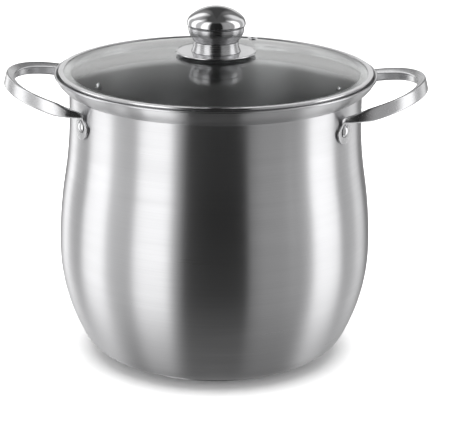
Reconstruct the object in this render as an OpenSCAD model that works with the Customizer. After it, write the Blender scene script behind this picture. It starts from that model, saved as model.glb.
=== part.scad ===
// Stainless steel water bath canner: a belly-shaped stockpot with two strap handles,
// a glass lid with a steel knob, and a wire jar rack with folding bails inside.
// Millimetres. Z is up, the base stands on z = 0 and the handles point along +X and -X.

/* [Pot] */
// Outer radius of the straight neck
neck_r = 146; // [143:0.5:149]
// Outer radius of the belly at its widest
belly_r = 157.3; // [155:0.1:160]
// Height of the widest part of the belly
belly_z = 112; // [105:1:120]
// Height where the neck becomes straight
neck_z = 250; // [240:1:255]
// Height of the crease between the neck and the flared rim
crease_z = 273; // [272:0.5:274]
// Thickness of the pot wall
wall = 1; // [0.8:0.1:1.2]
// Radius of the rounded lip at the top of the flare
lip_bead_r = 1.2; // [1:0.1:1.4]

/* [Base] */
// Radius of the base cap where it stands
base_r = 106; // [100:1:108]
// Height of the underside of the pot's own floor
floor_z = 3.5; // [3:0.1:4]
// Thickness of the sheet that encloses the base
cap_wall = 0.6; // [0.5:0.1:0.8]

/* [Handles] */
// Angle between a handle's middle and each of its rivets, seen from above
rivet_angle = 30.4; // [30:0.1:32]
// Height of the handle rivets
rivet_z = 250.5; // [249:0.5:252]
// Radius of the handle loop, to the middle of its strap
loop_r = 78; // [77:0.5:79]
// Width of the handle strap, seen from above
strap_w = 9; // [8:0.5:10]
// Height of the strap's outer face at the tip of the loop
strap_h = 15; // [13:0.5:16]
// Height of the strap's inner face, which faces the pot
strap_in_h = 8; // [7:0.5:10]
// Upward tilt of the handle loop
loop_tilt = 14; // [12:0.2:15]
// Thickness of the riveted tabs
tab_t = 2.2; // [2:0.1:2.6]
// Radius of the rounded end of a tab
tab_r = 13; // [12:0.5:14]

/* [Lid] */
// Outer radius of the steel band round the lid
band_r = 156.5; // [156:0.1:156.5]
// Thickness of the glass
glass_t = 4; // [3.5:0.1:4]
// Height of the top of the dome
dome_z = 308; // [307:0.5:309]
// Radius of the sphere that the dome is part of
dome_r = 679; // [660:1:700]
// Distance of the steam vent from the lid's middle
vent_r = 118; // [100:1:125]
// Direction of the steam vent, seen from above
vent_angle = 73; // [60:1:80]

/* [Knob] */
// Radius of the knob's domed cap at its widest
knob_r = 29.2; // [28:0.1:30]
// Radius of the sphere of the knob's domed cap
knob_dome_r = 38.7; // [37:0.1:40]
// Radius of the rounded shoulder of the knob's cap
shoulder_r = 9.9; // [9:0.1:11]
// Radius of the plate under the knob
plate_r = 40; // [38:0.5:42]

/* [Jar rack] */
// Radius of the rack's outer ring, to the middle of its wire
rack_r = 124; // [120:1:126]
// Radius of the rack's inner ring, to the middle of its wire
rack_inner_r = 60; // [50:1:70]
// Height of the middle of the rings' wire
rack_z = 24; // [24:0.5:28]
// Distance of each bail's pivot line from the rack's middle
bail_x = 100; // [98:1:102]

/* [Hidden] */
$fn = 96;
eps = 0.01;
steel = [0.78, 0.79, 0.80];
bright_steel = [0.88, 0.88, 0.90];
dark_steel = [0.60, 0.61, 0.63];

// Pot profile: four arcs that meet tangentially, then the straight neck and the flare
low_belly_R = 190;
join_z = 22;
low_angle = asin((belly_z - join_z) / low_belly_R);
corner_R = (join_z - floor_z) / (1 - sin(low_angle));
corner_c = belly_r - low_belly_R + (low_belly_R - corner_R) * cos(low_angle);
top_angle = 2 * atan((belly_r - neck_r) / (neck_z - belly_z));
arcs_R = (neck_z - belly_z) / sin(top_angle);
neck_R = 400;
top_belly_R = arcs_R - neck_R;
flare_R = 27;
flare_in = -65;
flare_out = -20;
flare_c = neck_r - flare_R * cos(flare_in);
flare_z = crease_z - flare_R * sin(flare_in);

// Base
core_r = base_r - 2;
cap_top_z = floor_z + 0.4;

// Rivets and tabs
rivet_r = 3;
rivet_head_r = 6.5;
rivet_head_h = 2.6;
inner_head_h = 2;
tab_in_r = neck_r + 0.3;
tab_out_r = tab_in_r + tab_t;
tab_top_z = rivet_z + 12;
loop_x = tab_out_r * cos(rivet_angle) + 2;
loop_z = tab_top_z;
neck_h = 6;
strap_bevel = 1.5;

// Lid
band_bottom_z = 284;
band_top_z = 291.8;
band_wall = 0.7;
skirt_r = 144.2;
skirt_z = 270;
flange_in_r = 149;
flange_r = 154.6;
flange_z = dome_z - dome_r + sqrt(pow(dome_r, 2) - pow(flange_in_r, 2));
stem_hole_r = 4.2;
vent_hole_r = 3.4;

// Knob stack, from the glass upwards and downwards
gasket_r = 34;
plate_z = 309.6;
plate_t = 0.9;
collar_z = plate_z + plate_t;
body_z = 320.6;
cap_z = 335.6;
cap_top = 355.5;
shoulder_x = knob_r - shoulder_r;
cap_wide_z = cap_top - knob_dome_r + sqrt(pow(knob_dome_r - shoulder_r, 2) - pow(shoulder_x, 2));
shoulder_end = knob_dome_r * shoulder_x / (knob_dome_r - shoulder_r);
screw_r = 3;
under_z = dome_z - glass_t;

// Jar rack
ring_wire = 2.5;
inner_wire = 2;
spoke_wire = 2;
bail_wire = 1.9;
eye_wire = 1.3;
eye_R = bail_wire + eye_wire + 0.3;
pot_floor_z = floor_z + wall;
spoke_z = rack_z - ring_wire - spoke_wire;
feet_r = 92;
pivot_y = sqrt(pow(rack_r, 2) - pow(bail_x, 2));
pivot_z = rack_z + ring_wire + eye_R + eye_wire;
bail_y = pivot_y - eye_wire - bail_wire - 0.8;
bail_reach = bail_x - 8;
bail_corner = 14;
spoke_angles = [30, 90, 150, 210, 270, 330];

// Points of an arc about (x, y), from angle a to angle b
function arc(x, y, r, a, b, n = 12) =
    [for (i = [0 : n]) let (t = a + (b - a) * i / n) [x + r * cos(t), y + r * sin(t)]];

// One side of the pot's wall, moved inwards by d, from the floor's edge to the crease
function wall_line(d) = concat(
    arc(corner_c, floor_z + corner_R, corner_R - d, -90, -low_angle),
    arc(belly_r - low_belly_R, belly_z, low_belly_R - d, -low_angle, 0),
    arc(belly_r - top_belly_R, belly_z, top_belly_R - d, 0, top_angle),
    arc(neck_r + neck_R, neck_z, neck_R + d, 180 + top_angle, 180, 8),
    arc(flare_c, flare_z, flare_R - d, flare_in, flare_out)
);

function reversed(line) = [for (i = [len(line) - 1 : -1 : 0]) line[i]];

// Height of the dome's upper surface at radius r
function dome_at(r) = dome_z - dome_r + sqrt(pow(dome_r, 2) - pow(r, 2));

// Points along the dome, lowered by d
function dome_line(r0, r1, d = 0, n = 10) =
    [for (i = [0 : n]) let (r = r0 + (r1 - r0) * i / n) [r, dome_at(r) - d]];

module ring(R, wire) rotate_extrude() translate([R, 0]) circle(r = wire, $fn = 32);

// Places its children at a rivet's axis, pointing away from the pot, on the +X side
module at_rivet(side)
    rotate([0, 0, side * rivet_angle]) translate([0, 0, rivet_z]) rotate([0, 90, 0]) children();

// ---- Pot ----

module pot_shell() color(steel) difference() {
    rotate_extrude($fn = 180) {
        polygon(concat([[0, floor_z]], wall_line(0), reversed(wall_line(wall)), [[0, pot_floor_z]]));
        translate([flare_c, flare_z] + (flare_R - wall / 2) * [cos(flare_out), sin(flare_out)])
            circle(r = lip_bead_r, $fn = 32);
    }
    for (turn = [0, 180], side = [-1, 1])
        rotate([0, 0, turn]) at_rivet(side) cylinder(r = rivet_r + 0.05, h = 2 * neck_r);
}

// Aluminium disc that spreads the heat, sealed under the pot's floor
module base_core() color(dark_steel)
    translate([0, 0, cap_wall]) cylinder(r = core_r - cap_wall, h = floor_z - cap_wall, $fn = 180);

// Steel cap pressed over the disc
module base_cap() color(steel) rotate_extrude($fn = 180) difference() {
    polygon([[0, 0], [base_r - 0.8, 0], [base_r, 0.8], [base_r, floor_z], [0, floor_z]]);
    translate([-eps, cap_wall]) square([core_r - cap_wall + eps, cap_top_z - cap_wall]);
}

// ---- Handles ----

// The riveted tab: a rounded lobe of the cylinder that lies round the neck
module tab(side) difference() {
    intersection() {
        rotate_extrude($fn = 180) translate([tab_in_r, rivet_z - 20]) square([tab_t, 40]);
        union() {
            at_rivet(side) cylinder(r = tab_r, h = 2 * neck_r);
            rotate([0, 0, side * rivet_angle]) translate([0, -tab_r * 0.75, rivet_z])
                cube([2 * neck_r, 1.5 * tab_r, tab_top_z - rivet_z + neck_h / 2]);
        }
    }
    at_rivet(side) cylinder(r = rivet_r + 0.05, h = 2 * neck_r);
}

// The strap's section: a tall outer face, a lower inner face and bevelled corners
module strap_section() {
    slope = (strap_h - strap_in_h) / 2 / strap_w;
    top = [
        [strap_w / 2, strap_h / 2 - strap_bevel],
        [strap_w / 2 - strap_bevel, strap_h / 2 - slope * strap_bevel],
        [strap_bevel - strap_w / 2, strap_in_h / 2 + slope * strap_bevel],
        [-strap_w / 2, strap_in_h / 2 - strap_bevel]
    ];
    polygon(concat(top, [for (p = reversed(top)) [p[0], -p[1]]]));
}

// The strap's loop: a half ring, cut so that it grows taller from its necks towards its tip
module loop() translate([loop_x, 0, loop_z]) rotate([0, -loop_tilt, 0]) intersection() {
    rotate([0, 0, -92.2]) rotate_extrude(angle = 184.4, $fn = 180) translate([loop_r, 0]) strap_section();
    rotate([90, 0, 0]) linear_extrude(height = 3 * loop_r, center = true) {
        top = [
            [2 * loop_r, strap_h / 2 + 1], [0.27 * loop_r, strap_h / 2],
            [-0.02 * loop_r, neck_h / 2], [-10, neck_h / 2]
        ];
        polygon(concat(top, [for (p = reversed(top)) [p[0], -p[1]]]));
    }
}

module handle() color(bright_steel) {
    loop();
    for (side = [-1, 1]) tab(side);
}

module right_handle() handle();
module left_handle() rotate([0, 0, 180]) handle();

// A rivet through tab and wall, with a domed head outside and a flatter one inside
module rivet() {
    head_R = (pow(rivet_head_r, 2) + pow(rivet_head_h, 2)) / (2 * rivet_head_h);
    inner_R = (pow(rivet_head_r, 2) + pow(inner_head_h, 2)) / (2 * inner_head_h);
    in_r = neck_r - wall - 0.2;
    translate([0, 0, in_r - eps]) cylinder(r = rivet_r, h = tab_out_r - in_r + 0.2 + 2 * eps, $fn = 48);
    intersection() {
        translate([0, 0, tab_out_r + 0.2]) cylinder(r = rivet_head_r, h = rivet_head_h, $fn = 48);
        translate([0, 0, tab_out_r + 0.2 + rivet_head_h - head_R]) sphere(r = head_R, $fn = 64);
    }
    intersection() {
        translate([0, 0, in_r - inner_head_h]) cylinder(r = rivet_head_r, h = inner_head_h, $fn = 48);
        translate([0, 0, in_r - inner_head_h + inner_R]) sphere(r = inner_R, $fn = 64);
    }
}

module right_handle_rivets() color(bright_steel) for (side = [-1, 1]) at_rivet(side) rivet();
module left_handle_rivets() rotate([0, 0, 180]) right_handle_rivets();

// ---- Lid ----

module at_vent() rotate([0, 0, vent_angle]) translate([vent_r, 0, 0]) children();

module lid_glass() color([0.75, 0.82, 0.82, 0.35]) difference() {
    rotate_extrude($fn = 180) polygon(concat(
        dome_line(stem_hole_r, flange_in_r), [[flange_r, flange_z], [flange_r, flange_z - glass_t]],
        reversed(dome_line(stem_hole_r, flange_in_r, glass_t))
    ));
    at_vent() cylinder(r = vent_hole_r, h = 2 * dome_z);
}

// Channel that grips the edge of the glass, with a skirt that centres the lid in the neck
module lid_rim_band() color(bright_steel) rotate_extrude($fn = 180) difference() {
    union() {
        polygon([
            [skirt_r, band_bottom_z], [band_r - 0.6, band_bottom_z], [band_r, band_bottom_z + 0.6],
            [band_r, band_top_z - 1.5], [band_r - 1.5, band_top_z], [151, band_top_z], [151, flange_z + 0.05],
            [flange_r + 0.1, flange_z + 0.05], [flange_r + 0.1, flange_z - glass_t - 0.05],
            [skirt_r, flange_z - glass_t - 0.05]
        ]);
        translate([skirt_r - band_wall, skirt_z]) square([band_wall, flange_z - glass_t - 0.05 - skirt_z]);
    }
    translate([skirt_r, band_bottom_z + band_wall])
        square([flange_r - 1 - skirt_r, flange_z - glass_t - 2 * band_wall - band_bottom_z]);
}

// Steel grommet that lines the steam vent
module vent_eyelet() color(bright_steel) at_vent() {
    top = dome_at(vent_r) + 0.9;
    bottom = dome_at(vent_r) - glass_t - 0.9;
    difference() {
        union() {
            translate([0, 0, bottom]) cylinder(r = vent_hole_r - 0.05, h = top - bottom, $fn = 48);
            translate([0, 0, top]) cylinder(r = 5.5, h = 0.8, $fn = 48);
            translate([0, 0, bottom - 0.8]) cylinder(r = 5.5, h = 0.8, $fn = 48);
        }
        cylinder(r = 2.2, h = 2 * dome_z, $fn = 48);
    }
}

// ---- Knob ----

// Domed cap: a shallow dome that turns over a round shoulder and tucks in to the seam with the body
module knob_cap() color(bright_steel) rotate_extrude() difference() {
    union() {
        intersection() {
            translate([0, cap_top - knob_dome_r]) circle(r = knob_dome_r, $fn = 128);
            translate([0, cap_z]) square([shoulder_end, cap_top]);
        }
        intersection() {
            translate([shoulder_x, cap_wide_z]) circle(r = shoulder_r, $fn = 96);
            translate([0, cap_wide_z - eps]) square([knob_r + 1, shoulder_r]);
        }
        polygon([
            [0, cap_z], [knob_r - 1.3, cap_z], [knob_r - 0.5, cap_z + 1],
            [knob_r, cap_wide_z], [0, cap_wide_z]
        ]);
    }
    translate([0, cap_z - eps]) square([knob_r - 3, 1.2]);
}

module knob_body() color(steel) rotate_extrude() difference() {
    polygon(concat(
        [[0, body_z], [22.2, body_z]],
        [for (i = [0 : 10]) let (s = i / 10)
            [22.7 + 5.1 * sin(90 * min(1, 1.15 * s)), body_z + 0.6 + (cap_z - 1.3 - body_z) * s]],
        [[27.2, cap_z - eps], [0, cap_z - eps]]
    ));
    translate([-eps, body_z - eps]) square([6 + eps, cap_z - body_z - 3]);
}

module knob_collar() color(steel) rotate_extrude() difference() {
    polygon(concat(
        [[0, collar_z]],
        [for (i = [0 : 8]) let (s = i / 8)
            [22.2 + 2.3 * pow(1 - s, 2), collar_z + (body_z - 0.6 - collar_z) * s]],
        [[21.7, body_z - eps], [0, body_z - eps]]
    ));
    translate([-eps, collar_z - eps]) square([6 + eps, body_z - collar_z + 2 * eps]);
}

// Threaded core that the screw holds, running through collar and body
module knob_insert() color([0.75, 0.62, 0.35]) translate([0, 0, collar_z]) difference() {
    cylinder(r = 5.9, h = cap_z - collar_z - 3.2, $fn = 48);
    translate([0, 0, -1]) cylinder(r = screw_r + 0.05, h = cap_z, $fn = 48);
}

// Wide plate that spreads the knob's load over the glass
module knob_plate() color(bright_steel) rotate_extrude($fn = 128) {
    translate([screw_r + 0.3, plate_z]) square([plate_r - 1.2 - screw_r, plate_t]);
    translate([plate_r - 0.9, plate_z + plate_t / 2]) circle(r = 0.9, $fn = 32);
}

module upper_gasket() color([0.25, 0.25, 0.25]) rotate_extrude($fn = 128) polygon(concat(
    [for (p = dome_line(screw_r + 0.3, gasket_r)) p + [0, 0.02]],
    [[gasket_r, plate_z], [screw_r + 0.3, plate_z]]
));

module lower_gasket() color([0.25, 0.25, 0.25]) rotate_extrude() polygon(concat(
    [for (p = dome_line(screw_r + 0.3, 12, glass_t, 4)) p - [0, 0.07]],
    [[12, under_z - 1.8], [screw_r + 0.3, under_z - 1.8]]
));

module lower_washer() color(steel) translate([0, 0, under_z - 3]) difference() {
    cylinder(r = 10.5, h = 1.2);
    translate([0, 0, -1]) cylinder(r = screw_r + 0.3, h = 4, $fn = 48);
}

// Pan-head screw from below, with a cross recess
module knob_screw() color(dark_steel) {
    head_z = under_z - 3;
    difference() {
        intersection() {
            translate([0, 0, head_z - 3.4]) cylinder(r = 5.6, h = 3.4, $fn = 48);
            translate([0, 0, head_z + 2.8]) sphere(r = 6.8, $fn = 64);
        }
        for (turn = [0, 90])
            rotate([0, 0, turn]) translate([-3, -0.6, head_z - 4]) cube([6, 1.2, 2.4]);
    }
    translate([0, 0, head_z - eps]) cylinder(r = screw_r, h = cap_z - 5 - head_z, $fn = 48);
}

// ---- Jar rack ----

module rack_outer_ring() color(bright_steel) translate([0, 0, rack_z]) ring(rack_r, ring_wire);

module rack_inner_ring() color(bright_steel)
    translate([0, 0, rack_z - ring_wire + inner_wire]) ring(rack_inner_r, inner_wire);

module rack_spokes() color(bright_steel) for (a = spoke_angles)
    rotate([0, 0, a]) translate([rack_inner_r - 3, 0, spoke_z]) rotate([0, 90, 0])
        cylinder(r = spoke_wire, h = rack_r - rack_inner_r + 6, $fn = 32);

module rack_feet() color(bright_steel) for (a = spoke_angles)
    rotate([0, 0, a]) translate([feet_r, 0, pot_floor_z])
        cylinder(r = 3, h = spoke_z - spoke_wire - pot_floor_z, $fn = 32);

module rack_hinge_eyes() color(bright_steel) for (x = [-bail_x, bail_x], y = [-pivot_y, pivot_y])
    translate([x, y, pivot_z]) rotate([90, 0, 0]) ring(eye_R, eye_wire);

// Folded flat, the bail reaches from its pivot line at +X towards the rack's middle
module bail() color(bright_steel) translate([bail_x, 0, pivot_z]) {
    for (side = [-1, 1]) scale([1, side, 1]) {
        translate([0, bail_y, 0]) rotate([-90, 0, 0])
            cylinder(r = bail_wire, h = pivot_y + eye_wire + 1.5 - bail_y, $fn = 32);
        translate([0, bail_y, 0]) sphere(r = bail_wire, $fn = 32);
        translate([0, bail_y, 0]) rotate([0, -90, 0])
            cylinder(r = bail_wire, h = bail_reach - bail_corner, $fn = 32);
        translate([bail_corner - bail_reach, bail_y - bail_corner, 0]) rotate([0, 0, 90])
            rotate_extrude(angle = 90) translate([bail_corner, 0]) circle(r = bail_wire, $fn = 32);
        translate([-bail_reach, 0, 0]) rotate([-90, 0, 0])
            cylinder(r = bail_wire, h = bail_y - bail_corner, $fn = 32);
    }
}

module rack_bail_right() bail();
module rack_bail_left() rotate([0, 0, 180]) bail();

pot_shell();
base_core();
base_cap();
left_handle();
right_handle();
left_handle_rivets();
right_handle_rivets();
lid_glass();
lid_rim_band();
vent_eyelet();
knob_cap();
knob_body();
knob_collar();
knob_insert();
knob_plate();
upper_gasket();
lower_gasket();
lower_washer();
knob_screw();
rack_outer_ring();
rack_inner_ring();
rack_spokes();
rack_feet();
rack_hinge_eyes();
rack_bail_left();
rack_bail_right();
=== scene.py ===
"""Looks of a stainless steel water bath canner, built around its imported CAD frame.

The canner's pieces are drawn in millimetres, and piece() turns them into metres. The stage is in metres.
"""
import math

import bmesh
import bpy
from mathutils import Matrix, Vector


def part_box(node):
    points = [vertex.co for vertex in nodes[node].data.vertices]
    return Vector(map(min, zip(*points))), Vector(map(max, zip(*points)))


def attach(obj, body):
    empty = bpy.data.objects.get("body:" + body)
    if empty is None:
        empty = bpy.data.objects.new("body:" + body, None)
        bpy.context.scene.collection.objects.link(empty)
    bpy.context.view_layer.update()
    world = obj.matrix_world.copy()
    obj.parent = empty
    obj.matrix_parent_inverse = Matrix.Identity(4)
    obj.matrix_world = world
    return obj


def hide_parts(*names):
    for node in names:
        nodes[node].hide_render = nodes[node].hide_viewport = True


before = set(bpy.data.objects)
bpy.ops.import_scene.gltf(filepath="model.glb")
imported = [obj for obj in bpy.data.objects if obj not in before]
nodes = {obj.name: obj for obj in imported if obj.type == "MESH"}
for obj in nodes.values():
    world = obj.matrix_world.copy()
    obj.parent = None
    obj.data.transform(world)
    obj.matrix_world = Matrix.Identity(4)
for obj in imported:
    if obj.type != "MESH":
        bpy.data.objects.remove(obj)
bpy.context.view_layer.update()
MM = 0.001

# ---- Driving dimensions, in millimetres and degrees, as the CAD model has them ----
NECK_R, BELLY_R, BELLY_Z, NECK_Z, CREASE_Z = 146.0, 157.3, 112.0, 250.0, 273.0
FLOOR_Z, WALL, LIP_R = 3.5, 1.0, 1.2
LOW_R, JOIN_Z, NECK_ARC_R = 190.0, 22.0, 400.0
FLARE_R, FLARE_IN, FLARE_OUT = 27.0, -65.0, -20.0
CREASE_OUT, CREASE_IN = 1.0, 2.0
RIVET_ANGLE, RIVET_Z, RIVET_R, RIVET_GAP, SHANK_R = 30.4, 250.5, 6.5, 0.2, 3.0
TAB_R, TAB_T, TAB_GAP, TAB_DROP = 13.0, 2.2, 0.3, 4.0
LOOP_R, LOOP_Z, LOOP_OUT, LOOP_TILT = 77.9, RIVET_Z + 12, 2.0, 14.0
STRAP_W, STRAP_H, STRAP_IN_H = 9.0, 15.0, 8.0
DOME_R, DOME_Z, DOME_EDGE_R = 679.0, 308.0, 149.0
GLASS_R, GLASS_T, HOLE_R = 154.6, 4.0, 4.2
SKIRT_IN, SKIRT_OUT, BRIM_Z = 143.5, 144.2, 284.0
KNOB_DOME_R, SHOULDER_R = 38.7, 9.9
# The strap narrows between these two shares of the loop's radius, out from its centre
TAPER_FROM, TAPER_TO = 0.27, -0.02
SPOKES = 6
# Edges that turn by more degrees than this look sharp
SHARP = 38


# ---- Outlines ----

def sind(a):
    return math.sin(math.radians(a))


def cosd(a):
    return math.cos(math.radians(a))


def mix(a, b, t):
    return a + (b - a) * t


def ease(t):
    t = max(0.0, min(1.0, t))
    return t * t * (3 - 2 * t)


def arc(x, y, r, a, b, n=16):
    """Points of an arc about (x, y), from angle a to angle b in degrees."""
    return [(x + r * cosd(a + (b - a) * i / n), y + r * sind(a + (b - a) * i / n)) for i in range(n + 1)]


def fillet(line, index, r, n=5):
    """The line with its corner at index rounded to about radius r."""
    p, a, b = (Vector(line[i]) for i in (index, index - 1, (index + 1) % len(line)))
    da, db = (a - p).normalized(), (b - p).normalized()
    half = math.acos(max(-1.0, min(1.0, da.dot(db)))) / 2
    reach = min(r / math.tan(half), 0.45 * (a - p).length, 0.45 * (b - p).length)
    start, end = p + da * reach, p + db * reach
    curve = []
    for i in range(n + 1):
        t = i / n
        curve.append(tuple(start * (1 - t) ** 2 + p * 2 * t * (1 - t) + end * t ** 2))
    return line[:index] + curve + line[index + 1:]


def rounded(line, r, n=4):
    """A closed outline with all its corners rounded."""
    for i in range(len(line) - 1, -1, -1):
        line = fillet(line, i, r, n)
    return line


# ---- Meshes ----

def smooth(mesh, angle=SHARP):
    """Shades the mesh smooth, but for edges that turn by more than the angle."""
    mesh.polygons.foreach_set("use_smooth", [True] * len(mesh.polygons))
    mesh.set_sharp_from_angle(angle=math.radians(angle))


def piece(name, verts, faces, material, body, stands_for=(), sharp=SHARP):
    """Makes a mesh piece from millimetre points and has it ride on a body."""
    mesh = bpy.data.meshes.new(name)
    mesh.from_pydata([tuple(c * MM for c in v) for v in verts], [], faces)
    solid = bmesh.new()
    solid.from_mesh(mesh)
    bmesh.ops.recalc_face_normals(solid, faces=solid.faces)
    solid.to_mesh(mesh)
    solid.free()
    smooth(mesh, sharp)
    mesh.materials.append(material)
    obj = bpy.data.objects.new(name, mesh)
    bpy.context.scene.collection.objects.link(obj)
    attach(obj, body)
    if stands_for:
        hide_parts(*stands_for)
    return obj


def lathe_mesh(line, segments, closed):
    """Turns an outline of (radius, height) points about Z. An open outline starts and ends on the axis."""
    turns = [360 * k / segments for k in range(segments)]
    verts, rows = [], []
    for r, z in line:
        if r < 1e-6:
            rows.append([len(verts)] * segments)
            verts.append((0, 0, z))
        else:
            rows.append(list(range(len(verts), len(verts) + segments)))
            verts += [(r * cosd(a), r * sind(a), z) for a in turns]
    faces = []
    pairs = list(zip(rows, rows[1:])) + ([(rows[-1], rows[0])] if closed else [])
    for low, high in pairs:
        for k in range(segments):
            m = (k + 1) % segments
            face = []
            for v in (low[k], low[m], high[m], high[k]):
                if v not in face:
                    face.append(v)
            if len(face) > 2:
                faces.append(face)
    return verts, faces


def lathe(name, line, material, body, stands_for=(), segments=192, closed=False, sharp=SHARP,
          place=None):
    """Makes a turned piece, moved from the Z axis by the matrix place if there is one."""
    verts, faces = lathe_mesh(line, segments, closed)
    if place:
        verts = [tuple(place @ Vector(v)) for v in verts]
    return piece(name, verts, faces, material, body, stands_for, sharp)


def tube_faces(rings, count, closed=False):
    """Faces that join rings of count points each, with flat ends unless the tube closes on itself."""
    faces = []
    for i in range(rings if closed else rings - 1):
        a, b = i * count, ((i + 1) % rings) * count
        faces += [[a + k, a + (k + 1) % count, b + (k + 1) % count, b + k] for k in range(count)]
    if not closed:
        faces += [list(range(count))[::-1], list(range((rings - 1) * count, rings * count))]
    return faces


def wire_points(path, r, sides, closed):
    """Rings of a round wire along a path of points."""
    verts = []
    side = None
    n = len(path)
    for i, p in enumerate(path):
        before = path[i - 1] if closed or i else p
        after = path[(i + 1) % n] if closed or i < n - 1 else p
        t = (after - before).normalized()
        if side is None:
            side = t.orthogonal().normalized()
        side = (side - t * side.dot(t)).normalized()
        up = t.cross(side)
        for k in range(sides):
            a = 360 * k / sides
            verts.append(tuple(p + (side * cosd(a) + up * sind(a)) * r))
    return verts


def wires(name, paths, r, body, stands_for, closed=False):
    """One piece of one or more round rack wires."""
    sides = 16
    verts, faces = [], []
    for path in paths:
        base = len(verts)
        verts += wire_points(path, r, sides, closed)
        faces += [[v + base for v in f] for f in tube_faces(len(path), sides, closed)]
    return piece(name, verts, faces, wire_steel, body, stands_for)


# ---- Materials ----

class Tree:
    """A short way to write a node tree."""

    def __init__(self, tree):
        self.tree = tree

    def add(self, kind, links=None, **values):
        """Adds a node with these values, and gives each socket in links its source or its constant."""
        node = self.tree.nodes.new(kind)
        for key, value in values.items():
            setattr(node, key, value)
        for socket, source in (links or {}).items():
            if isinstance(source, bpy.types.NodeSocket):
                self.tree.links.new(source, node.inputs[socket])
            else:
                node.inputs[socket].default_value = source
        return node

    def math(self, operation, a, b=None):
        links = {0: a} if b is None else {0: a, 1: b}
        return self.add("ShaderNodeMath", links, operation=operation).outputs[0]

    def share(self, value, low, high):
        """How far the value is on its way from low to high, held within 0 and 1."""
        return self.add("ShaderNodeMapRange", {"Value": value, "From Min": low, "From Max": high}).outputs[0]

    def ramp(self, value, stops):
        """A colour ramp with stops of (position, grey) or (position, (red, green, blue))."""
        node = self.add("ShaderNodeValToRGB", {"Fac": value})
        elements = node.color_ramp.elements
        while len(elements) < len(stops):
            elements.new(0.5)
        for element, (at, shade) in zip(elements, stops):
            element.position = at
            element.color = (*shade, 1) if hasattr(shade, "__len__") else (shade, shade, shade, 1)
        return node.outputs[0]


class Look(Tree):
    """The nodes of a new material, whose noise lies in the object's own space."""

    def __init__(self, name):
        self.material = bpy.data.materials.new(name)
        self.material.use_nodes = True
        super().__init__(self.material.node_tree)
        self.shader = self.tree.nodes["Principled BSDF"]
        self.place = self.add("ShaderNodeTexCoord").outputs["Object"]

    def noise(self, scale, detail, vector=None):
        links = {"Vector": self.place if vector is None else vector, "Scale": scale, "Detail": detail}
        return self.add("ShaderNodeTexNoise", links).outputs["Fac"]

    def link(self, source, socket):
        self.tree.links.new(source, self.shader.inputs[socket])

    def set(self, **values):
        for key, value in values.items():
            self.shader.inputs[key.replace("_", " ")].default_value = value

    def bump(self, height, strength, distance):
        node = self.add("ShaderNodeBump", {"Height": height, "Strength": strength, "Distance": distance})
        self.link(node.outputs[0], "Normal")


def streaks(n, across, along, detail, spin):
    """Noise drawn out round Z, along the brushing. It varies with height or, with spin, with radius."""
    x, y, z = n.add("ShaderNodeSeparateXYZ", {0: n.place}).outputs
    if spin:
        z = n.math("SQRT", n.math("ADD", n.math("MULTIPLY", x, x), n.math("MULTIPLY", y, y)))
    scaled = [n.math("MULTIPLY", a, by) for a, by in ((x, along), (y, along), (z, across))]
    vector = n.add("ShaderNodeCombineXYZ", dict(enumerate(scaled))).outputs[0]
    return n.noise(1.0, detail, vector)


def brushed(name, shade, rough, aniso, across=1500.0, along=9.0, spin=False):
    """Steel brushed round its axis: fine, slightly uneven lines that draw reflections out across them."""
    n = Look(name)
    fine = streaks(n, across, along, 4.0, spin)
    broad = streaks(n, across * 0.05, along * 0.7, 3.0, spin)
    both = n.math("ADD", n.math("MULTIPLY", fine, 0.6), n.math("MULTIPLY", broad, 0.4))
    n.link(n.ramp(both, [(0.3, [c * 0.93 for c in shade]), (0.7, shade)]), "Base Color")
    n.link(n.ramp(both, [(0.3, rough * 1.12), (0.7, rough * 0.9)]), "Roughness")
    n.bump(fine, 0.06, 0.00005)
    n.set(Metallic=1.0, Anisotropic=aniso, Anisotropic_Rotation=0.25)
    tangent = n.add("ShaderNodeTangent", direction_type="RADIAL", axis="Z")
    n.link(tangent.outputs[0], "Tangent")
    return n.material


def polished(name, shade, rough):
    """Polished steel with the faint haze and fine wipe marks of use."""
    n = Look(name)
    haze = n.noise(90.0, 5.0)
    marks = n.noise(900.0, 2.0)
    n.link(n.ramp(haze, [(0.35, [c * 0.95 for c in shade]), (0.65, shade)]), "Base Color")
    n.link(n.ramp(haze, [(0.3, rough * 0.8), (0.75, rough * 1.5)]), "Roughness")
    n.bump(marks, 0.02, 0.00003)
    n.set(Metallic=1.0)
    return n.material


def strap_steel():
    """Half-polished strap steel with a fine grain in no single direction."""
    n = Look("handle_steel")
    grain = n.noise(700.0, 4.0)
    patches = n.noise(60.0, 3.0)
    n.link(n.ramp(patches, [(0.3, (0.58, 0.58, 0.59)), (0.7, (0.65, 0.65, 0.66))]), "Base Color")
    n.link(n.ramp(grain, [(0.3, 0.20), (0.7, 0.28)]), "Roughness")
    n.bump(grain, 0.05, 0.00004)
    n.set(Metallic=1.0)
    return n.material


def glass():
    """Clear tempered glass with the faintest wipe marks."""
    n = Look("lid_glass")
    wipe = n.noise(14.0, 6.0)
    n.link(n.ramp(wipe, [(0.45, 0.0), (0.8, 0.03)]), "Roughness")
    n.link(n.ramp(wipe, [(0.3, (0.96, 0.98, 0.975)), (0.7, (0.985, 0.995, 0.99))]), "Base Color")
    n.set(Transmission_Weight=1.0, IOR=1.5)
    return n.material


def silicone():
    n = Look("silicone")
    grain = n.noise(1200.0, 3.0)
    n.link(n.ramp(grain, [(0.3, (0.030, 0.030, 0.032)), (0.7, (0.055, 0.055, 0.058))]), "Base Color")
    n.link(n.ramp(grain, [(0.3, 0.55), (0.7, 0.75)]), "Roughness")
    n.bump(grain, 0.15, 0.00008)
    return n.material


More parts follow.
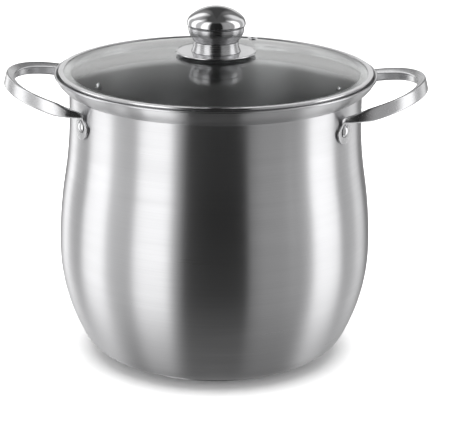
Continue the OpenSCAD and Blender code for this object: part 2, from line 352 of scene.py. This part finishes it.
pot_steel = brushed("pot_steel", (0.62, 0.62, 0.63), 0.30, 1.0)
base_steel = brushed("base_steel", (0.56, 0.56, 0.57), 0.36, 0.8, spin=True)
# The same steel as the pot's, given a darker shade: painted shade that dims the knob's cone and collar
knob_steel_painted_shade = brushed("knob_steel_painted_shade", (0.50, 0.50, 0.51), 0.27, 0.8, across=4000.0, along=30.0)
core_aluminium = brushed("core_aluminium", (0.80, 0.80, 0.81), 0.45, 0.5, spin=True)
plate_steel = brushed("plate_steel", (0.66, 0.66, 0.67), 0.16, 0.5, across=5000.0, spin=True)
mirror_steel = polished("mirror_steel", (0.64, 0.64, 0.65), 0.07)
band_steel = polished("band_steel", (0.66, 0.66, 0.67), 0.12)
wire_steel = polished("wire_steel", (0.60, 0.60, 0.61), 0.18)
screw_steel = polished("screw_steel", (0.52, 0.52, 0.53), 0.28)
brass = polished("brass", (0.75, 0.58, 0.28), 0.22)
handle_steel = strap_steel()
lid_clear = glass()
rubber = silicone()


# ---- Pot ----

# The wall's arcs: a bottom corner, the low and top belly and the reverse arc run on into one another without a
# corner, and the flare leaves the neck at the crease
low_angle = math.degrees(math.asin((BELLY_Z - JOIN_Z) / LOW_R))
corner_r = (JOIN_Z - FLOOR_Z) / (1 - sind(low_angle))
corner_x = BELLY_R - LOW_R + (LOW_R - corner_r) * cosd(low_angle)
top_angle = 2 * math.degrees(math.atan((BELLY_R - NECK_R) / (NECK_Z - BELLY_Z)))
top_r = (NECK_Z - BELLY_Z) / sind(top_angle) - NECK_ARC_R
flare_x = NECK_R - FLARE_R * cosd(FLARE_IN)
flare_z = CREASE_Z - FLARE_R * sind(FLARE_IN)


def wall_line(d, fillet_r):
    """One side of the pot's wall, moved inwards by d, from the floor's edge to the lip."""
    line = (arc(corner_x, FLOOR_Z + corner_r, corner_r - d, -90, -low_angle, 20)
            + arc(BELLY_R - LOW_R, BELLY_Z, LOW_R - d, -low_angle, 0, 24)[1:]
            + arc(BELLY_R - top_r, BELLY_Z, top_r - d, 0, top_angle, 16)[1:]
            + arc(NECK_R + NECK_ARC_R, NECK_Z, NECK_ARC_R + d, 180 + top_angle, 180, 16)[1:])
    crease = len(line)
    line += arc(flare_x, flare_z, FLARE_R - d, FLARE_IN, FLARE_OUT, 16)
    return fillet(line, crease, fillet_r)


def make_pot():
    """The shell's sheet, outside and inside, with a bead for its lip."""
    middle = FLARE_R - WALL / 2
    lip = (flare_x + middle * cosd(FLARE_OUT), flare_z + middle * sind(FLARE_OUT))
    spread = math.degrees(math.asin(WALL / 2 / LIP_R))
    back = FLARE_OUT - 90
    line = ([(0, FLOOR_Z)] + wall_line(0, CREASE_OUT)[:-1]
            + arc(*lip, LIP_R, back + spread, back + 360 - spread, 14)
            + wall_line(WALL, CREASE_IN)[-2::-1] + [(0, FLOOR_Z + WALL)])
    lathe("pot_body", line, pot_steel, "pot", ["pot_shell"], segments=256, sharp=50)


def make_base():
    """A disc for the cap and what it holds, a hair short of the shell's floor."""
    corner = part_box("base_cap")[1] / MM
    r, top = corner.x, corner.z - 0.05
    edge, bevel = 0.9, 0.2
    line = ([(0, 0)] + [(r * t, 0) for t in (0.25, 0.5, 0.75)] + arc(r - edge, edge, edge, -90, 0, 6)
            + [(r, top - bevel), (r - bevel, top), (0, top)])
    lathe("base_disc", line, base_steel, "pot", ["base_cap"])


# ---- Handles ----

tab_mid = NECK_R + TAB_GAP + TAB_T / 2
loop_x = (NECK_R + TAB_GAP + TAB_T) * cosd(RIVET_ANGLE) + LOOP_OUT


def strap_section(w, outer, inner, r):
    """A rounded section of half width w and half heights outer and inner, as (across, up) points."""
    return rounded([(w, outer), (-w, inner), (-w, -inner), (w, -outer)], r, 5)


def half_handle(side):
    """Rings from the tip of the loop to the end of one tab, for a handle on the +X side. side is +1 or -1."""
    rings = []

    def ring(centre, across, up, section, bow=0.0):
        rings.append([centre + across * x + up * (y - bow * x * x) for x, y in section])

    # The loop, whose strap narrows towards the tabs
    neck_h, neck_in_h = 2.9, 2.6
    tilt = Matrix.Rotation(math.radians(-LOOP_TILT), 3, "Y")
    start = Vector((loop_x, 0, LOOP_Z))
    loop_end, loop_steps = 84.0, 36
    for i in range(loop_steps + 1):
        angle = loop_end * i / loop_steps
        out = Vector((cosd(angle), side * sind(angle), 0))
        grow = min(1.0, (cosd(angle) - TAPER_TO) / (TAPER_FROM - TAPER_TO))
        outer, inner = mix(neck_h, STRAP_H / 2, grow), mix(neck_in_h, STRAP_IN_H / 2, grow)
        ring(start + tilt @ (out * LOOP_R), tilt @ out, tilt @ Vector((0, 0, -1)),
             strap_section(STRAP_W / 2, outer, inner, 2.2))
    # The neck, which turns down into the tab about a small radius and takes on the pot's curve
    angle = side * RIVET_ANGLE
    out = Vector((cosd(angle), sind(angle), 0))
    along = Vector((-sind(angle), cosd(angle), 0)) * side
    rise = Vector((0, 0, 1))
    curve = 1 / (2 * tab_mid)
    bend_r, bend_in_w, bend_w, bend_h, bend_steps = 3.2, 4.8, 6.0, 1.2, 10
    top = out * (tab_mid + bend_r) + rise * (RIVET_Z + TAB_R - TAB_DROP)
    for i in range(bend_steps + 1):
        t = i / bend_steps
        turn = 90 * t
        centre = top + (rise * cosd(turn) - out * sind(turn)) * bend_r
        w, h = mix(bend_in_w, bend_w, t), mix(neck_in_h, bend_h, t)
        ring(centre, along, out * sind(turn) - rise * cosd(turn), strap_section(w, h, h, 0.8), curve * t)
    # The tab, round below and drawn in to the neck above
    tab_steps = 24
    for i in range(1, tab_steps + 1):
        z = mix(top.z, RIVET_Z - TAB_R, sind(90 * i / tab_steps))
        lobe = math.sqrt(max(0.0, TAB_R ** 2 - (z - RIVET_Z) ** 2))
        w = lobe if z < RIVET_Z else mix(bend_w, TAB_R, ease((top.z - z) / (top.z - RIVET_Z)))
        h = TAB_T / 2 * min(1, max(0.3, w / 2))
        ring(out * tab_mid + rise * z, along, out, strap_section(max(w, 0.4), h, h, 0.7), curve)
    return rings


def make_handle(name, node, angle):
    right, left = half_handle(1), half_handle(-1)
    rings = left[::-1] + right[1:]
    place = Matrix.Rotation(math.radians(angle), 3, "Z")
    verts = [tuple(place @ p) for r in rings for p in r]
    faces = tube_faces(len(rings), len(rings[0]))
    piece(name, verts, faces, handle_steel, "pot", [node], 42)


def make_rivets(name, node, angle):
    """Two rivets: a domed head over the tab, the shank and a flatter dome inside the pot."""
    inside, outside = NECK_R - WALL - RIVET_GAP, NECK_R + TAB_GAP + TAB_T + RIVET_GAP
    head, tail = 2.6, 2.0
    head_r, tail_r = ((RIVET_R ** 2 + h ** 2) / (2 * h) for h in (head, tail))
    head_a, tail_a = (math.degrees(math.asin(RIVET_R / r)) for r in (head_r, tail_r))
    line = (arc(0, inside - tail + tail_r, tail_r, -90, -90 + tail_a, 10)
            + [(SHANK_R, inside), (SHANK_R, outside)]
            + arc(0, outside + head - head_r, head_r, 90 - head_a, 90, 12))
    line[0], line[-1] = (0, line[0][1]), (0, line[-1][1])
    verts, faces = [], []
    for side in (-1, 1):
        place = (Matrix.Rotation(math.radians(angle + side * RIVET_ANGLE), 4, "Z")
                 @ Matrix.Translation((0, 0, RIVET_Z)) @ Matrix.Rotation(math.radians(90), 4, "Y"))
        base = len(verts)
        rivet_verts, rivet_faces = lathe_mesh(line, 48, False)
        verts += [tuple(place @ Vector(p)) for p in rivet_verts]
        faces += [[v + base for v in face] for face in rivet_faces]
    piece(name, verts, faces, mirror_steel, "pot", [node])


# ---- Lid ----

def dome_height(r):
    return DOME_Z - DOME_R + math.sqrt(DOME_R ** 2 - r ** 2)


glass_edge = dome_height(DOME_EDGE_R)


def dome_line(drop=0.0, n=24):
    """The dome's outline from its hole to its edge, lowered by drop."""
    radii = [mix(HOLE_R, DOME_EDGE_R, i / n) for i in range(n + 1)]
    return [(r, dome_height(r) - drop) for r in radii]


def make_glass():
    bevel, under = 0.8, glass_edge - GLASS_T
    line = (dome_line() + [(GLASS_R - bevel, glass_edge), (GLASS_R, glass_edge - bevel),
                           (GLASS_R, under + bevel), (GLASS_R - bevel, under)]
            + dome_line(GLASS_T)[::-1])
    lathe("glass_dome", line, lid_clear, "lid", ["lid_glass"], segments=256, closed=True)


def make_band():
    """A channel round the glass: a skirt into the neck, a brim on the lip and a lip rolled over the glass."""
    low, high = (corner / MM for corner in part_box("lid_rim_band"))
    r, top, skirt_z = high.x, high.z, low.z
    gap = 0.05
    under = glass_edge - GLASS_T - gap
    roll = top - glass_edge - gap
    seat_r = GLASS_R + 0.1
    brim_r, lip_r, edge = 155.9, GLASS_R - 2.8, 0.8
    line = [(SKIRT_IN, skirt_z + 0.3), ((SKIRT_IN + SKIRT_OUT) / 2, skirt_z), (SKIRT_OUT, skirt_z + 0.3),
            (SKIRT_OUT, BRIM_Z), (brim_r, BRIM_Z), (r - 0.2, BRIM_Z + 0.4), (r, BRIM_Z + 1.2)]
    line += arc(r - roll, top - roll, roll, 0, 90, 8)
    line += arc(lip_r, top - edge, edge, 90, 250, 8)
    line += [(seat_r, glass_edge + gap), (seat_r, under), (SKIRT_IN + 0.5, under), (SKIRT_IN, under - 0.5)]
    lathe("rim_channel", line, band_steel, "lid", ["lid_rim_band"], segments=256, closed=True,
          sharp=50)


def make_vent():
    """A tube through the glass with a flange at each end."""
    low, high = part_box("vent_eyelet")
    h = (high.z - low.z) / MM / 2
    bore, waist, flange, flange_t = 2.2, 3.3, 5.4, 0.8
    line = rounded([(bore, -h), (flange, -h), (flange, -h + flange_t), (waist, -h + flange_t),
                    (waist, h - flange_t), (flange, h - flange_t), (flange, h), (bore, h)], 0.35)
    lathe("steam_vent", line, band_steel, "lid", ["vent_eyelet"], segments=48, closed=True,
          place=Matrix.Translation((low + high) / 2 / MM))


def make_knob_cap():
    """A dome with a tighter shoulder, over a rim that is rolled in."""
    low, high = (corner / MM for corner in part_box("knob_cap"))
    r, z, top = high.x, low.z, high.z
    shoulder_x, dome_c = r - SHOULDER_R, top - KNOB_DOME_R
    shoulder_z = dome_c + math.sqrt((KNOB_DOME_R - SHOULDER_R) ** 2 - shoulder_x ** 2)
    join = math.degrees(math.atan2(shoulder_z - dome_c, shoulder_x))
    line = [(0, z + 0.4), (r - 3.4, z + 0.4), (r - 2.2, z), (r - 1.3, z), (r - 0.65, z + 0.5),
            (r - 0.3, z + 1.2)]
    line += arc(shoulder_x, shoulder_z, SHOULDER_R, -4, join, 16)
    line += arc(0, dome_c, KNOB_DOME_R, join, 90, 20)[1:-1] + [(0, top)]
    lathe("knob_dome", line, mirror_steel, "lid", ["knob_cap"], segments=128, sharp=60)


def make_knob_body():
    """A cone that is widest just under the cap."""
    low, high = (corner.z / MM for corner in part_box("knob_body"))
    waist, spread, fullness, n = 22.7, 5.1, 1.15, 16
    line = [(0, low), (21.4, low), (21.9, low + 0.2), (22.5, low + 0.55)]
    for i in range(n + 1):
        line.append((waist + spread * sind(90 * min(1, fullness * i / n)), mix(low + 0.9, high - 1.0, i / n)))
    line += [(27.5, high - 0.5), (26.9, high - 0.05), (0, high - 0.05)]
    lathe("knob_cone", line, knob_steel_painted_shade, "lid", ["knob_body"], segments=128)


def make_knob_collar():
    """A ring that flares out to the plate."""
    low, high = (corner.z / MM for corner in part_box("knob_collar"))
    waist, flare, n = 22.2, 2.3, 12
    line = [(0, low), (24.2, low), (24.5, low + 0.3)]
    line += [(waist + flare * (1 - i / n) ** 2, mix(low + 0.5, high - 0.7, i / n)) for i in range(n + 1)]
    line += [(21.9, high - 0.2), (21.3, high), (0, high)]
    lathe("knob_neck", line, knob_steel_painted_shade, "lid", ["knob_collar"], segments=128)


def make_plate():
    """A thin washer with a round bead for its rim."""
    low, high = (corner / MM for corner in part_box("knob_plate"))
    r, t, bead, neck, hole_r = high.x, 0.9, 0.9, 2.2, 3.3
    z = low.z + t / 2
    line = [(hole_r, z), (r - neck, z)] + arc(r - bead, z + t / 2, bead, 210, 510, 14)
    line += [(r - neck, z + t), (hole_r, z + t)]
    lathe("knob_plate_disc", line, plate_steel, "lid", ["knob_plate"], segments=128,
          closed=True)


# ---- Jar rack ----

def wire_place(node):
    """Middle height, wire radius and reach along X of a flat CAD node of wire."""
    low, high = (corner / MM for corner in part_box(node))
    return (low.z + high.z) / 2, (high.z - low.z) / 2, high.x


def circle_path(r, z, n):
    return [Vector((r * cosd(360 * i / n), r * sind(360 * i / n), z)) for i in range(n)]


def make_rack():
    z, r, reach = wire_place("rack_outer_ring")
    wires("rack_rim_wire", [circle_path(reach - r, z, 128)], r, "rack", ["rack_outer_ring"], closed=True)
    z, r, reach = wire_place("rack_inner_ring")
    hub_r = reach - r
    wires("rack_hub_wire", [circle_path(hub_r, z, 96)], r, "rack", ["rack_inner_ring"], closed=True)
    z, r, _ = wire_place("rack_spokes")
    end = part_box("rack_spokes")[1].y / MM
    paths = []
    for k in range(SPOKES):
        angle = 30 + 360 / SPOKES * k
        way = Vector((cosd(angle), sind(angle), 0))
        paths.append([way * d + Vector((0, 0, z)) for d in (hub_r - 3, hub_r - 2.6, end - 0.4, end)])
    wires("rack_spoke_wires", paths, r, "rack", ["rack_spokes"])


def make_bail(name, node, body, side):
    """A folded bail: two arms from its pivots to a grip bar near the middle, with round corners."""
    low, high = (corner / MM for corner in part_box(node))
    z, r, _ = wire_place(node)
    grip_x = min(abs(low.x), abs(high.x)) + r
    pivot_x, arm_y, bend, corner = 100.0, 69.37, 1.5, 14.0
    half = [(pivot_x, high.y), (pivot_x, arm_y + 1.2)]
    half += arc(pivot_x - bend, arm_y + bend, bend, 0, -90, 5)[1:]
    half += arc(grip_x + corner, arm_y - corner, corner, 90, 180, 12)
    line = half + [(x, -y) for x, y in half[::-1]]
    wires(name, [[Vector((side * x, y, z)) for x, y in line]], r, body, [node])


def paint(material, *names):
    """Gives CAD nodes that stay as they are their material."""
    for name in names:
        mesh = nodes[name].data
        mesh.materials.clear()
        mesh.materials.append(material)
        smooth(mesh, 30)


make_pot()
make_base()
make_handle("strap_right", "right_handle", 0)
make_handle("strap_left", "left_handle", 180)
make_rivets("rivets_right", "right_handle_rivets", 0)
make_rivets("rivets_left", "left_handle_rivets", 180)
make_glass()
make_band()
make_vent()
make_knob_cap()
make_knob_body()
make_knob_collar()
make_plate()
make_rack()
make_bail("bail_wire_left", "rack_bail_left", "bail_left", -1)
make_bail("bail_wire_right", "rack_bail_right", "bail_right", 1)
paint(core_aluminium, "base_core")
paint(brass, "knob_insert")
paint(rubber, "upper_gasket", "lower_gasket")
paint(screw_steel, "lower_washer", "knob_screw")
paint(wire_steel, "rack_feet", "rack_hinge_eyes")


# ---- Camera ----

def make_camera():
    """A long lens a little above the rim, turned so that the canner stands left of the middle."""
    distance, height, swing = 1.8, 0.7221, 2.0
    pitch, yaw, roll = (math.radians(a) for a in (18.16, 0.61, 0.64))
    ahead = Vector((math.sin(yaw) * math.cos(pitch), math.cos(yaw) * math.cos(pitch), -math.sin(pitch)))
    level = Vector((math.cos(yaw), -math.sin(yaw), 0))
    upright = level.cross(ahead)
    right = level * math.cos(roll) + upright * math.sin(roll)
    up = upright * math.cos(roll) - level * math.sin(roll)
    turn = Matrix.Rotation(math.radians(swing), 3, "Z")
    pose = (turn @ Matrix((right, up, -ahead)).transposed()).to_4x4()
    pose.translation = turn @ Vector((0, -distance, height))
    data = bpy.data.cameras.new("camera")
    data.lens, data.sensor_width = 142.84, 36.0
    data.clip_start, data.clip_end = 0.1, 20.0
    camera = bpy.data.objects.new("camera", data)
    camera.matrix_world = pose
    bpy.context.scene.collection.objects.link(camera)
    bpy.context.scene.camera = camera


# ---- Studio ----

# Brightness of the studio round the canner, as (degrees from the camera's side, brightness)
STUDIO = [(-180, 0.28), (-152, 0.3), (-147, 1.6), (-136, 1.6), (-131, 0.6), (-113, 0.6), (-108, 1.85),
          (-88, 1.85), (-82, 0.75), (-62, 0.75), (-57, 1.85), (-34, 1.85), (-28, 0.6), (-20, 0.04),
          (0, 0.02), (26, 0.02), (28, 0.3), (38, 0.45), (58, 0.47), (60, 0.62), (63, 0.47), (76, 0.52),
          (82, 1.85), (104, 1.85), (109, 0.6), (126, 0.6), (131, 1.1), (143, 1.1), (149, 0.25), (180, 0.28)]
# Brightness of a ring card round the neck, in the same way
NECK_CARD = [(-180, 0.3), (-100, 0.35), (-72, 0.8), (-64, 0.5), (-58, 0.6), (-54, 1.6), (-49, 1.6),
             (-45, 0.65), (-38, 0.65), (-35, 2.0), (-21, 2.0), (-15, 0.8), (-11, 0.08), (13, 0.08),
             (17, 0.45), (46, 0.55), (54, 1.5), (62, 1.5), (68, 0.6), (100, 0.35), (180, 0.3)]
# The brightest that either may be: a ramp holds a share of it
TOP_LIGHT = 2.0
# A pale backdrop low behind the canner, which the lid's glass mirrors, as (degrees up, brightness)
BACKDROP = [(-40, 0.3), (-10, 0.55), (5, 0.6), (13, 0.95), (17, 0.9), (20, 0.3), (34, 0.08)]


def light_round(n, x, y, stops):
    """Turns (degrees from the camera's side, value) stops into a ramp round the Z axis."""
    turn = n.math("ARCTAN2", x, n.math("MULTIPLY", y, -1.0))
    return n.ramp(n.share(turn, -math.pi, math.pi), [((a + 180) / 360, value) for a, value in stops])


def dimmed(stops):
    """The stops' brightness as shares of TOP_LIGHT."""
    return [(a, value / TOP_LIGHT) for a, value in stops]


def make_world():
    """Bright and dark stripes for the steel to mirror, and white paper for the camera and the floor."""
    world = bpy.data.worlds.new("studio")
    bpy.context.scene.world = world
    world.use_nodes = True
    n = Tree(world.node_tree)
    n.tree.nodes.clear()
    way = n.add("ShaderNodeTexCoord").outputs["Generated"]
    x, y, z = n.add("ShaderNodeSeparateXYZ", {0: way}).outputs
    lift = n.share(z, -1.0, 1.0)
    sides = light_round(n, x, y, dimmed(STUDIO))
    # The stripes end towards the ground and the zenith
    band = n.ramp(lift, [(0.09, 0.0), (0.29, 1.0), (0.88, 1.0), (0.97, 0.0)])
    ends = n.ramp(lift, [(0.0, 0.11), (0.3, 0.12), (0.6, 0.1), (0.9, 0.07), (1.0, 0.05)])
    walls = n.add("ShaderNodeMix", {0: band, 6: ends, 7: sides}, data_type="RGBA").outputs[2]
    behind = light_round(n, x, y, [(-168, 1.0), (-158, 0.0), (158, 0.0), (168, 1.0)])
    backdrop = n.ramp(lift, [((sind(a) + 1) / 2, value) for a, value in dimmed(BACKDROP)])
    shade = n.add("ShaderNodeMix", {0: behind, 6: walls, 7: backdrop}, data_type="RGBA").outputs[2]
    studio = n.add("ShaderNodeBackground", {"Color": shade, "Strength": TOP_LIGHT})
    paper = n.add("ShaderNodeBackground", {"Color": (1, 1, 1, 1), "Strength": 1.0})
    path = n.add("ShaderNodeLightPath").outputs
    on_paper = n.math("MAXIMUM", path["Is Camera Ray"], path["Is Diffuse Ray"])
    both = n.add("ShaderNodeMixShader", {0: on_paper, 1: studio.outputs[0], 2: paper.outputs[0]})
    n.add("ShaderNodeOutputWorld", {"Surface": both.outputs[0]})


def make_floor():
    size = 6.0
    mesh = bpy.data.meshes.new("floor")
    corners = [(-size, -size, 0), (size, -size, 0), (size, size, 0), (-size, size, 0)]
    mesh.from_pydata(corners, [], [[0, 1, 2, 3]])
    n = Look("floor_paper")
    n.link(n.ramp(n.noise(40.0, 3.0), [(0.3, (0.93, 0.93, 0.93)), (0.7, (0.95, 0.95, 0.95))]), "Base Color")
    n.set(Roughness=0.9)
    mesh.materials.append(n.material)
    floor = bpy.data.objects.new("floor", mesh)
    floor.visible_glossy = False
    bpy.context.scene.collection.objects.link(floor)


def make_neck_card():
    """A ring card round the neck that lights the flare's underside, seen only in reflections from above."""
    inner, outer, height, count = 0.156, 0.34, 0.2, 96
    near_clear, near_full = 0.254, 0.274
    far_full, far_clear = 0.34, 0.39
    grid_full, grid_clear = 0.2, 0.34
    turns = [360 * k / count for k in range(count)]
    verts = [(r * cosd(a), r * sind(a), height) for r in (inner, outer) for a in turns]
    faces = [[k, k + count, (k + 1) % count + count, (k + 1) % count] for k in range(count)]
    mesh = bpy.data.meshes.new("neck_card")
    mesh.from_pydata(verts, [], faces)
    n = Look("neck_card")
    x, y, _ = n.add("ShaderNodeSeparateXYZ", {0: n.place}).outputs
    shade = light_round(n, x, y, dimmed(NECK_CARD))
    glow = n.add("ShaderNodeEmission", {"Color": shade, "Strength": TOP_LIGHT})
    clear = n.add("ShaderNodeBsdfTransparent")
    # It fades out towards both rims by its distance from the origin, so that the steel shows no edge of it
    reach = n.add("ShaderNodeVectorMath", {0: n.place}, operation="LENGTH").outputs["Value"]
    middle = n.math("MULTIPLY", n.share(reach, near_clear, near_full), n.share(reach, far_clear, far_full))
    # Its grid lets only steep rays from above see it, so that it lights the flare and not the wall below
    facing = n.add("ShaderNodeLayerWeight").outputs["Facing"]
    above = n.math("SUBTRACT", 1.0, n.add("ShaderNodeNewGeometry").outputs["Backfacing"])
    grid = n.math("MULTIPLY", n.share(facing, grid_clear, grid_full), above)
    shown = n.math("MULTIPLY", middle, grid)
    both = n.add("ShaderNodeMixShader", {0: shown, 1: clear.outputs[0], 2: glow.outputs[0]})
    n.tree.links.new(both.outputs[0], n.tree.nodes["Material Output"].inputs["Surface"])
    mesh.materials.append(n.material)
    card = bpy.data.objects.new("neck_card", mesh)
    card.visible_camera = card.visible_diffuse = card.visible_transmission = card.visible_shadow = False
    bpy.context.scene.collection.objects.link(card)


def make_lights():
    """Soft light from above for the floor and its shadow, which neither the steel nor the glass shows."""
    light = bpy.data.lights.new("overhead", "AREA")
    light.shape, light.size, light.energy = "DISK", 3.0, 130.0
    overhead = bpy.data.objects.new("overhead", light)
    overhead.location = (0, 0, 2.6)
    overhead.visible_glossy = overhead.visible_transmission = False
    bpy.context.scene.collection.objects.link(overhead)


make_camera()
make_world()
make_floor()
make_neck_card()
make_lights()
bpy.context.scene.view_settings.view_transform = "Standard"
